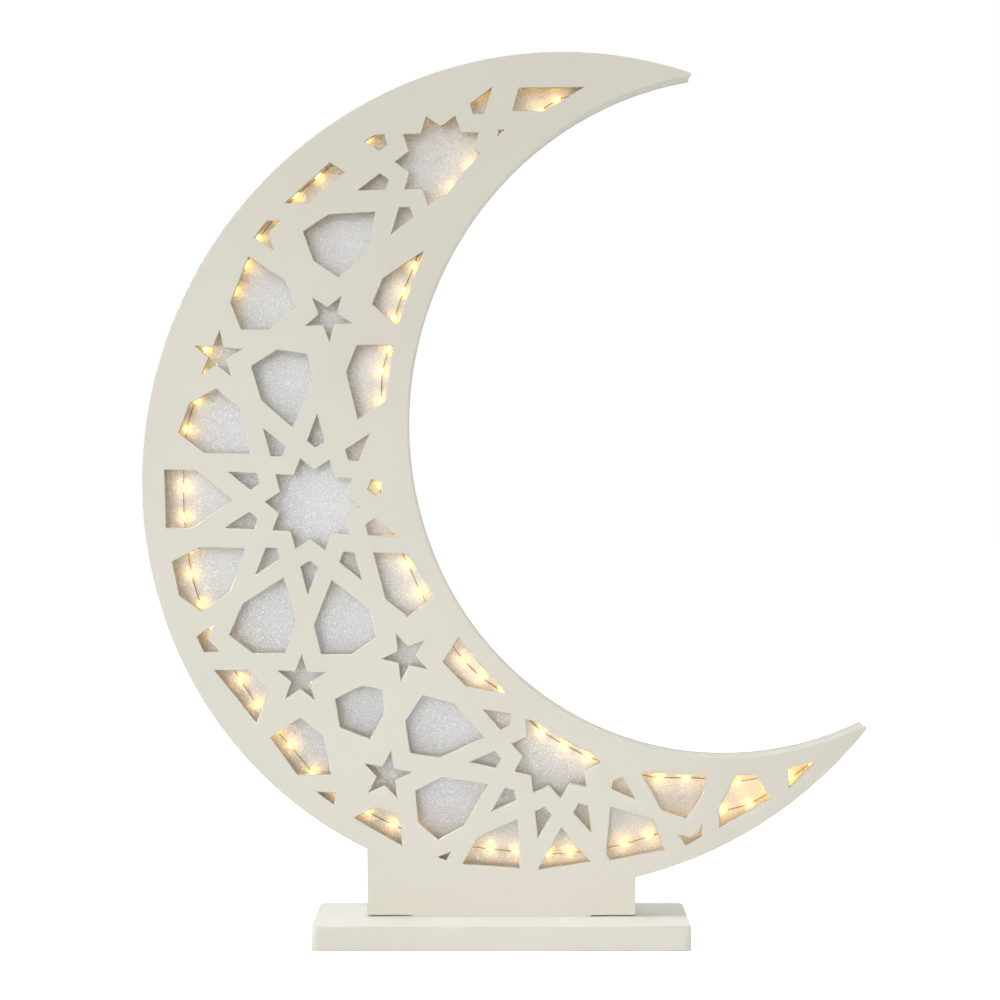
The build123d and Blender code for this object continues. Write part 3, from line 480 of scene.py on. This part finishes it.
bpy.ops.object.select_all(action="DESELECT")
bpy.ops.mesh.primitive_uv_sphere_add(segments=20, ring_count=12, radius=GLUE_ROUND * MM)
dome = bpy.context.object
bpy.ops.object.mode_set(mode="EDIT")
bpy.ops.mesh.select_all(action="SELECT")
bpy.ops.mesh.bisect(plane_co=(0, 0, 0), plane_no=(0, 1, 0), use_fill=True, clear_outer=True)
bpy.ops.mesh.select_all(action="SELECT")
bpy.ops.transform.resize(value=(1, GLUE_HIGH / GLUE_ROUND, 1))
bpy.ops.object.mode_set(mode="OBJECT")
bpy.ops.object.shade_smooth_by_angle(angle=radians(60))
print("dome height in mm:", round(dome.dimensions.y / MM, 2))

# %% All domes
GLUED = [(OUTER_RUN, (2, 6, 10, 18, 23, 28, 32, 35)), (INNER_RUN, (1, 6, 10, 14, 21, 25, 30, 34)),
         (LOWER_RUN, (1, 4, 11))]
SLUMP_STEP = 0.05
NARROWEST = 0.86
WIDTH_STEP = 0.04

dots = []
for run, gaps in GLUED:
    for i in gaps:
        spot = Vector(((run[i][0] + run[i + 1][0]) / 2, CARD_FRONT, (run[i][1] + run[i + 1][1]) / 2)) * MM
        slump = Matrix.Diagonal((1, 1 - SLUMP_STEP * (i % 3), NARROWEST + WIDTH_STEP * (i % 4), 1))
        dots.append(Matrix.Translation(spot) @ Matrix.Rotation(i, 4, "Y") @ slump)
domes = joined_copies("glue_domes", dome, dots)

# %% [markdown]
# ## Set hot-melt
# Set glue is milky and lets some light in, so it glows softly beside a lit drop. Its skin is smooth with
# faint cloudiness.

# %% Hot-melt
MILK_SIZE = 3

hot_melt, tree, shader, place = new_material("set hot-melt glue")
milk = add_node(tree, "ShaderNodeTexNoise", {}, {
    "Vector": place, "Scale": per_mm(MILK_SIZE), "Detail": 2.0})
cloudy = add_node(tree, "ShaderNodeMix", {"data_type": "RGBA"}, {
    0: milk.outputs["Fac"], 6: linear("DCD6C6"), 7: linear("EDE9DC")})
tree.links.new(cloudy.outputs[2], shader.inputs["Base Color"])
shader.inputs["Roughness"].default_value = 0.32
shader.inputs["Subsurface Weight"].default_value = 0.4
shader.inputs["Subsurface Scale"].default_value = 1.5 * MM
dress(domes, hot_melt, "ornament")
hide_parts("glue_dots")
print("glue dots:", len(dots))

# %% [markdown]
# ## Countersunk screws
# Two zinc-plated screws come up through the base into a pine batten, and two smaller ones hold the battery
# box. A screw is a cone for the head, extruded into a shank and a point, and a cross-shaped recess for
# the driver. The recess is cut by two crossing bars with a Boolean modifier.

# %% One screw
# FACING is the cosine of a face that looks along an axis. The recess's bar is in shares of the head's width.
FACING = 0.99
SCREW_SIDES = 28
SHANK_TAPER = 0.96
POINT_TAPER = 0.08
RECESS_BAR = Vector((0.56, 0.13, 0.5))


def pick_faces(piece, wanted):
    """Enter edit mode with only the wanted faces selected."""
    only(piece)
    bpy.ops.object.mode_set(mode="EDIT")
    bpy.ops.mesh.select_mode(type="FACE")
    bpy.ops.mesh.select_all(action="DESELECT")
    bpy.ops.object.mode_set(mode="OBJECT")
    for face in piece.data.polygons:
        face.select = wanted(face)
    bpy.ops.object.mode_set(mode="EDIT")


def cross_screw(head, shank, length):
    """Screw with its head's flat at the origin and its point along +Z, in mm."""
    cone = (head - shank) / 2
    bpy.ops.object.select_all(action="DESELECT")
    bpy.ops.mesh.primitive_cone_add(vertices=SCREW_SIDES, radius1=head / 2 * MM, radius2=shank / 2 * MM,
                                    depth=cone * MM, location=(0, 0, cone / 2 * MM))
    screw = bpy.context.object
    bpy.ops.object.transform_apply()
    for rise, narrow in ((length - cone - shank, SHANK_TAPER), (shank, POINT_TAPER)):
        pick_faces(screw, lambda face: face.normal.z > FACING)
        bpy.ops.mesh.extrude_region_move(TRANSFORM_OT_translate={"value": (0, 0, rise * MM)})
        bpy.ops.transform.resize(value=(narrow, narrow, 1))
        bpy.ops.object.mode_set(mode="OBJECT")
    for turn in (0, pi / 2):
        bpy.ops.object.select_all(action="DESELECT")
        bpy.ops.mesh.primitive_cube_add(size=1, rotation=(0, 0, turn))
        bar = bpy.context.object
        bar.scale = RECESS_BAR * head * MM
        bpy.context.view_layer.update()
        recess = screw.modifiers.new("recess", "BOOLEAN")
        recess.object = bar
        only(screw)
        bpy.ops.object.modifier_apply(modifier=recess.name)
        bpy.data.objects.remove(bar)
    bpy.ops.object.shade_smooth_by_angle(angle=radians(30))
    return screw


# %% Screws in place
BASE_SCREW_X = (-49, 49)
BASE_SCREW_Y = 6
BASE_SCREW_SINK = 0.2
BOX_SCREW_X = (-14.05, 25.95)
BOX_SCREW_Y = 19.4
BOX_SCREW_Z = 23

upward = [Matrix.Translation(Vector((x, BASE_SCREW_Y, BASE_SCREW_SINK)) * MM) for x in BASE_SCREW_X]
to_front = Matrix.Rotation(pi / 2, 4, "X")
forward = [Matrix.Translation(Vector((x, BOX_SCREW_Y, BOX_SCREW_Z)) * MM) @ to_front for x in BOX_SCREW_X]
base_screws = joined_copies("plinth_screws", cross_screw(head=8, shank=4, length=20), upward)
box_screws = joined_copies("case_screws", cross_screw(head=4.8, shank=2.5, length=10), forward)

# %% [markdown]
# ## Zinc plate
# Plated screws are bright metal with a faint blue to straw tint, dulled where the driver has turned in
# the recess. Slow noise shifts the tint and the roughness together.

# %% Zinc plate
PATCH_SIZE = 2.5

zinc, tree, shader, place = new_material("bright zinc plate on steel")
patch = add_node(tree, "ShaderNodeTexNoise", {}, {
    "Vector": place, "Scale": per_mm(PATCH_SIZE), "Detail": 3.0})
tarnish = add_node(tree, "ShaderNodeMix", {"data_type": "RGBA"}, {
    0: patch.outputs["Fac"], 6: linear("B4B8BD"), 7: linear("CFCBBD")})
dulled = add_node(tree, "ShaderNodeMapRange", {}, {
    "Value": patch.outputs["Fac"], "To Min": 0.22, "To Max": 0.45})
tree.links.new(tarnish.outputs[2], shader.inputs["Base Color"])
tree.links.new(dulled.outputs["Result"], shader.inputs["Roughness"])
shader.inputs["Metallic"].default_value = 1.0
for screws, node in ((base_screws, "base_screws"), (box_screws, "box_screws")):
    dress(screws, zinc, "ornament")
    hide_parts(node)
print("zinc plated:", base_screws.name, "and", box_screws.name)

# %% [markdown]
# ## White moulding
# The battery box is injection-moulded in white plastic. The mould is spark-eroded, which leaves a fine
# sandy grain that hides scratches and kills the gloss. The grain is near 0.1 mm and is drawn at 0.4 mm so
# that it shows. The plastic yellows a little, unevenly.

# %% White moulding
GRAIN_SIZE = 0.4
YELLOW_SIZE = 25

white_plastic, tree, shader, place = new_material("spark-eroded white polystyrene")
aged = add_node(tree, "ShaderNodeTexNoise", {}, {
    "Vector": place, "Scale": per_mm(YELLOW_SIZE), "Detail": 2.0})
tone = add_node(tree, "ShaderNodeMix", {"data_type": "RGBA"}, {
    0: aged.outputs["Fac"], 6: linear("D9D8D1"), 7: linear("E3E3DE")})
grain = add_node(tree, "ShaderNodeTexNoise", {}, {
    "Vector": place, "Scale": per_mm(GRAIN_SIZE), "Detail": 1.0})
sandy = add_node(tree, "ShaderNodeBump", {}, {
    "Height": grain.outputs["Fac"], "Strength": 0.25, "Distance": 0.03 * MM})
satin = add_node(tree, "ShaderNodeMapRange", {}, {
    "Value": grain.outputs["Fac"], "To Min": 0.42, "To Max": 0.58})
tree.links.new(tone.outputs[2], shader.inputs["Base Color"])
tree.links.new(sandy.outputs["Normal"], shader.inputs["Normal"])
tree.links.new(satin.outputs["Result"], shader.inputs["Roughness"])
print("moulding grain in mm:", GRAIN_SIZE)

# %% [markdown]
# ## Battery box, cover and lettering
# The box and its sliding cover are the CAD shapes with the small radii that a mould needs. The switch's
# two ends are marked ON and OFF in raised letters, and a raised arrow on the cover shows which way it
# slides. Letters start as a text object, are given thickness and made a mesh, and then turned to be read
# from behind. Their faces are rolled with grey ink, a little thin in places, or white on white they would
# be lost.

# %% Box and cover
MOULD_ROUND = 0.22

softened("battery_box", "moulded_case", MOULD_ROUND, white_plastic)
softened("battery_cover", "sliding_cover", MOULD_ROUND, white_plastic, "cover")

# %% Ink
THIN_SIZE = 0.5

ink, tree, shader, place = new_material("grey rolled ink on raised plastic")
thin = add_node(tree, "ShaderNodeTexNoise", {}, {
    "Vector": place, "Scale": per_mm(THIN_SIZE), "Detail": 2.0})
cover_up = add_node(tree, "ShaderNodeMix", {"data_type": "RGBA"}, {
    0: thin.outputs["Fac"], 6: linear("4A4C4F"), 7: linear("6B6E71")})
tree.links.new(cover_up.outputs[2], shader.inputs["Base Color"])
shader.inputs["Roughness"].default_value = 0.55
print("lettering ink:", ink.name)

# %% Raised letters
BOX_BACK = 37.6
LETTER_SIZE = 3.0
LETTER_PROUD = 0.35
LETTER_BOLD = 0.06
ON_X, OFF_X, WORD_Z = -32.6, -26.6, 35.6


def raised_word(word, x, z):
    """Word in raised letters on the rear of the box, read from behind."""
    bpy.ops.object.select_all(action="DESELECT")
    bpy.ops.object.text_add()
    letters = bpy.context.object
    letters.name = "word_" + word.lower()
    letters.data.body = word
    letters.data.size = LETTER_SIZE * MM
    letters.data.extrude = LETTER_PROUD * MM
    letters.data.offset = LETTER_BOLD * MM
    letters.data.align_x = "CENTER"
    bpy.ops.object.convert(target="MESH")
    letters = bpy.context.object
    letters.location = Vector((x, BOX_BACK, z)) * MM
    letters.rotation_euler = (pi / 2, 0, pi)
    bpy.ops.object.transform_apply()
    dress(letters, ink, "ornament")
    print(letters.name, "height in mm:", round(letters.dimensions.z / MM, 1))


raised_word("ON", ON_X, WORD_Z)
raised_word("OFF", OFF_X, WORD_Z)

# %% Arrow on the cover
ARROW_ROUND = 3.2
ARROW_EDGE = 0.12
ARROW_X, ARROW_Z = 14, 32

bpy.ops.object.select_all(action="DESELECT")
bpy.ops.mesh.primitive_cylinder_add(vertices=3, radius=ARROW_ROUND * MM, depth=2 * LETTER_PROUD * MM)
arrow = bpy.context.object
arrow.name = "cover_arrow"
arrow.location = Vector((ARROW_X, BOX_BACK, ARROW_Z)) * MM
arrow.rotation_euler = (pi / 2, pi / 2, 0)
bpy.ops.object.transform_apply()
soft = arrow.modifiers.new("soft edge", "BEVEL")
soft.width = ARROW_EDGE * MM
soft.segments = 2
bpy.ops.object.modifier_apply(modifier=soft.name)
dress(arrow, ink, "cover")
print("arrow in mm:", [round(side / MM, 1) for side in arrow.dimensions])

# %% [markdown]
# ## AA cells
# A cell is a steel can in a shrink jacket. The jacket folds over both ends and leaves a bare disc, flat at
# the negative end and with a pressed nub at the positive one. The can starts as a cylinder; its ends are
# inset, sunk under the fold and, at one end, extruded into the nub. The second cell is a copy turned end
# for end.

# %% One cell
CELL_ROUND = 7.25
CELL_BODY = 49.5
CELL_FOLD = 1.1
FOLD_SINK = 0.25
NUB_ROUND = 2.75
NUB_HIGH = 1.0
CELL_EDGE = 0.4
CELL_SHARP = 40
CELL_X, CELL_Y, CELL_Z = 5.45, 27.25, 40.1
CELL_PITCH = 16.2

bpy.ops.object.select_all(action="DESELECT")
bpy.ops.mesh.primitive_cylinder_add(vertices=40, radius=CELL_ROUND * MM, depth=CELL_BODY * MM,
                                    location=Vector((CELL_X, CELL_Y, CELL_Z)) * MM, rotation=(0, pi / 2, 0))
upper_cell = bpy.context.object
upper_cell.name = "upper_aa_cell"
bpy.ops.object.transform_apply()
for end in (-1, 1):
    pick_faces(upper_cell, lambda face: end * face.normal.x > FACING)
    bpy.ops.mesh.inset(thickness=CELL_FOLD * MM)
    bpy.ops.transform.translate(value=(-end * FOLD_SINK * MM, 0, 0))
    if end == 1:
        bpy.ops.mesh.inset(thickness=(CELL_ROUND - CELL_FOLD - NUB_ROUND) * MM)
        rise = (NUB_HIGH + FOLD_SINK) * MM
        bpy.ops.mesh.extrude_region_move(TRANSFORM_OT_translate={"value": (rise, 0, 0)})
    bpy.ops.object.mode_set(mode="OBJECT")
soft = upper_cell.modifiers.new("pressed edge", "BEVEL")
soft.width = CELL_EDGE * MM
soft.segments = 3
soft.limit_method = "ANGLE"
soft.angle_limit = radians(CELL_SHARP)
bpy.ops.object.modifier_apply(modifier=soft.name)
bpy.ops.object.shade_smooth_by_angle(angle=radians(CELL_SHARP))
print("cell length in mm:", round(upper_cell.dimensions.x / MM, 2))

# %% Jacket and can
# The marks of drawing the steel are finer in truth, and are drawn at 0.3 mm so that they show.
SHRINK_SIZE = 2.5
STROKE_SIZE = 0.3

jacket, tree, shader, place = new_material("charcoal PVC shrink jacket")
stretch = add_node(tree, "ShaderNodeMapping", {}, {"Vector": place, "Scale": (0.15, 1, 1)})
shrunk = add_node(tree, "ShaderNodeTexNoise", {}, {
    "Vector": stretch.outputs["Vector"], "Scale": per_mm(SHRINK_SIZE), "Detail": 3.0})
skin = add_node(tree, "ShaderNodeMix", {"data_type": "RGBA"}, {
    0: shrunk.outputs["Fac"], 6: linear("26292F"), 7: linear("34383F")})
gloss = add_node(tree, "ShaderNodeMapRange", {}, {
    "Value": shrunk.outputs["Fac"], "To Min": 0.2, "To Max": 0.36})
tree.links.new(skin.outputs[2], shader.inputs["Base Color"])
tree.links.new(gloss.outputs["Result"], shader.inputs["Roughness"])

nickel, tree, shader, place = new_material("nickel plate on spring steel")
drawn = add_node(tree, "ShaderNodeMapping", {}, {"Vector": place, "Scale": (1, 0.08, 1)})
strokes = add_node(tree, "ShaderNodeTexNoise", {}, {
    "Vector": drawn.outputs["Vector"], "Scale": per_mm(STROKE_SIZE), "Detail": 2.0})
plate = add_node(tree, "ShaderNodeMix", {"data_type": "RGBA"}, {
    0: strokes.outputs["Fac"], 6: linear("B9B4A8"), 7: linear("D2CEC3")})
polish = add_node(tree, "ShaderNodeMapRange", {}, {
    "Value": strokes.outputs["Fac"], "To Min": 0.2, "To Max": 0.4})
tree.links.new(plate.outputs[2], shader.inputs["Base Color"])
tree.links.new(polish.outputs["Result"], shader.inputs["Roughness"])
shader.inputs["Metallic"].default_value = 1.0
print("cell finishes:", jacket.name, "and", nickel.name)

# %% Both cells in place
dress(upper_cell, jacket, "ornament")
upper_cell.data.materials.append(nickel)
for face in upper_cell.data.polygons:
    off_axis = (face.center - Vector((face.center.x, CELL_Y * MM, CELL_Z * MM))).length
    face.material_index = int(off_axis < (CELL_ROUND - CELL_FOLD) * MM)
lower_cell = bpy.data.objects.new("lower_aa_cell", upper_cell.data.copy())
bpy.context.collection.objects.link(lower_cell)
pivot = Matrix.Translation(Vector((CELL_X + NUB_HIGH / 2, CELL_Y, 0)) * MM)
end_for_end = pivot @ Matrix.Rotation(pi, 4, "Z") @ pivot.inverted()
lower_cell.data.transform(Matrix.Translation((0, 0, -CELL_PITCH * MM)) @ end_for_end)
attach(lower_cell, "ornament")
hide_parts("cell_upper")
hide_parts("cell_lower")
print("cells:", upper_cell.name, "and", lower_cell.name)

# %% [markdown]
# ## Contacts, switch and batten
# The contact springs, the switch's body and the batten keep their CAD shapes and get their finishes: drawn
# nickel plate, black nylon, and pine as it comes off the saw, with growth rings cut lengthwise into
# bands. The switch's knob is softened, as it is felt with a fingertip.

# %% Contacts and switch
FLOW_SIZE = 1.2
KNOB_ROUND = 0.12

for node in ("bridge_contact", "feed_contacts"):
    nodes[node].data.materials[0] = nickel

black_nylon, tree, shader, place = new_material("moulded black nylon")
flow = add_node(tree, "ShaderNodeTexNoise", {}, {
    "Vector": place, "Scale": per_mm(FLOW_SIZE), "Detail": 3.0})
soot = add_node(tree, "ShaderNodeMix", {"data_type": "RGBA"}, {
    0: flow.outputs["Fac"], 6: linear("141414"), 7: linear("202021")})
shine = add_node(tree, "ShaderNodeMapRange", {}, {
    "Value": flow.outputs["Fac"], "To Min": 0.28, "To Max": 0.44})
tree.links.new(soot.outputs[2], shader.inputs["Base Color"])
tree.links.new(shine.outputs["Result"], shader.inputs["Roughness"])
nodes["switch_body"].data.materials[0] = black_nylon
softened("switch_knob", "switch_slider", KNOB_ROUND, black_nylon, "switch")

# %% Batten
# A Wave texture draws just over three bands in one unit, so these growth rings are about 6 mm apart.
RING_UNIT = 20

pine, tree, shader, place = new_material("sawn pine")
lengthwise = add_node(tree, "ShaderNodeMapping", {}, {"Vector": place, "Scale": (0.06, 1, 1)})
rings = add_node(tree, "ShaderNodeTexWave", {"bands_direction": "Z"}, {
    "Vector": lengthwise.outputs["Vector"], "Scale": per_mm(RING_UNIT), "Distortion": 3.0, "Detail": 2.0})
wood = add_node(tree, "ShaderNodeMix", {"data_type": "RGBA"}, {
    0: rings.outputs["Fac"], 6: linear("B98F5C"), 7: linear("D8B683")})
saw = add_node(tree, "ShaderNodeBump", {}, {
    "Height": rings.outputs["Fac"], "Strength": 0.3, "Distance": 0.1 * MM})
tree.links.new(wood.outputs[2], shader.inputs["Base Color"])
tree.links.new(saw.outputs["Normal"], shader.inputs["Normal"])
shader.inputs["Roughness"].default_value = 0.75
nodes["neck_block"].data.materials[0] = pine
print("carried over from CAD:", [name for name, node in nodes.items() if not node.hide_render])

# %% [markdown]
# ## Floor and light
# The ornament stands on a white sweep. The floor is pale and takes the shadow. To the camera and in
# reflections it has a little light of its own, so that it meets the white world without a line, and that
# light doesn't fall on the object. A broad lamp stands in front, just left of the camera, and a weaker one
# further left gives the shadows along the left edges of the cut pattern. A weak lamp high on the left, one
# behind and one on the right pick out the rims and the back. The photograph's plinth is brightest on top
# and shaded right of the neck, so a narrow beam comes down on it from the left. Another one, straight from
# the front, reaches through the lowest windows to the card. The lamps from above are a little cool, as
# window light is.

# %% World and floor
WORLD_LIGHT = 0.55
FLOOR_LIFT = 0.72
# The sweep's size and set-back are in metres, its drop under the base in mm.
FLOOR_SIZE = 8
FLOOR_BACK = 2
FLOOR_DROP = 0.05


def seen_directly(tree):
    """1 where a ray comes from the camera, a mirror or clear glass, 0 for the rest."""
    path = add_node(tree, "ShaderNodeLightPath", {}, {})
    mirrored = add_node(tree, "ShaderNodeMath", {"operation": "MAXIMUM"}, {
        0: path.outputs["Is Camera Ray"], 1: path.outputs["Is Glossy Ray"]})
    return add_node(tree, "ShaderNodeMath", {"operation": "MAXIMUM"}, {
        0: mirrored.outputs["Value"], 1: path.outputs["Is Transmission Ray"]}).outputs["Value"]


scene = bpy.context.scene
scene.view_settings.view_transform = "Standard"
world = bpy.data.worlds.new("studio")
world.use_nodes = True
scene.world = world
level = add_node(world.node_tree, "ShaderNodeMapRange", {}, {
    "Value": seen_directly(world.node_tree), "To Min": WORLD_LIGHT, "To Max": 1.0})
backdrop = world.node_tree.nodes["Background"]
backdrop.inputs["Color"].default_value = (1, 1, 1, 1)
world.node_tree.links.new(level.outputs["Result"], backdrop.inputs["Strength"])

bpy.ops.object.select_all(action="DESELECT")
bpy.ops.mesh.primitive_plane_add(size=FLOOR_SIZE, location=(0, FLOOR_BACK, -FLOOR_DROP * MM))
floor = bpy.context.object
floor.name = "floor"
sweep, tree, shader, _ = new_material("white paper sweep")
shader.inputs["Base Color"].default_value = linear("DADAD9")
shader.inputs["Roughness"].default_value = 0.9
lift = add_node(tree, "ShaderNodeMapRange", {}, {
    "Value": seen_directly(tree), "To Min": 0.0, "To Max": FLOOR_LIFT})
shader.inputs["Emission Color"].default_value = (1, 1, 1, 1)
tree.links.new(lift.outputs["Result"], shader.inputs["Emission Strength"])
floor.data.materials.append(sweep)
print("floor:", floor.name)

# %% Lamps
MIDDLE = (0, 0, 0.2)
PLINTH_TOP = (0, -0.01, 0.01)
LOW_WINDOWS = (0.05, 0, 0.06)
WHITE = "FFFFFF"
COOL = "E4F0FF"
WIDE = pi


def soft_lamp(name, spot, aim, size, watts, colour, spread):
    """Square area lamp that looks at a point, in metres, with its beam narrowed to spread, in radians."""
    bpy.ops.object.light_add(type="AREA", location=spot)
    lamp = bpy.context.object
    lamp.name = name
    lamp.data.size = size
    lamp.data.energy = watts
    lamp.data.spread = spread
    lamp.data.color = linear(colour)[:3]
    lamp.rotation_euler = (Vector(aim) - Vector(spot)).to_track_quat("-Z", "Y").to_euler()


soft_lamp("front_lamp", (-0.25, -2.4, 0.3), MIDDLE, size=0.8, watts=12.0, colour=WHITE, spread=WIDE)
soft_lamp("side_lamp", (-0.8, -0.9, 0.32), MIDDLE, size=0.6, watts=2.1, colour=WHITE, spread=WIDE)
soft_lamp("top_lamp", (-1.2, -0.2, 2.2), MIDDLE, size=0.8, watts=0.5, colour=COOL, spread=0.6)
soft_lamp("plinth_lamp", (-0.9, -0.12, 0.95), PLINTH_TOP, size=0.2, watts=0.11, colour=COOL, spread=0.24)
soft_lamp("low_lamp", (-0.1, -2.4, 0.12), LOW_WINDOWS, size=0.2, watts=0.018, colour=WHITE, spread=0.2)
soft_lamp("rear_lamp", (-1.0, 2.4, 2.4), MIDDLE, size=1.2, watts=20.0, colour=COOL, spread=WIDE)
soft_lamp("right_lamp", (1.2, 0.15, 0.6), MIDDLE, size=0.5, watts=3.0, colour=WHITE, spread=WIDE)
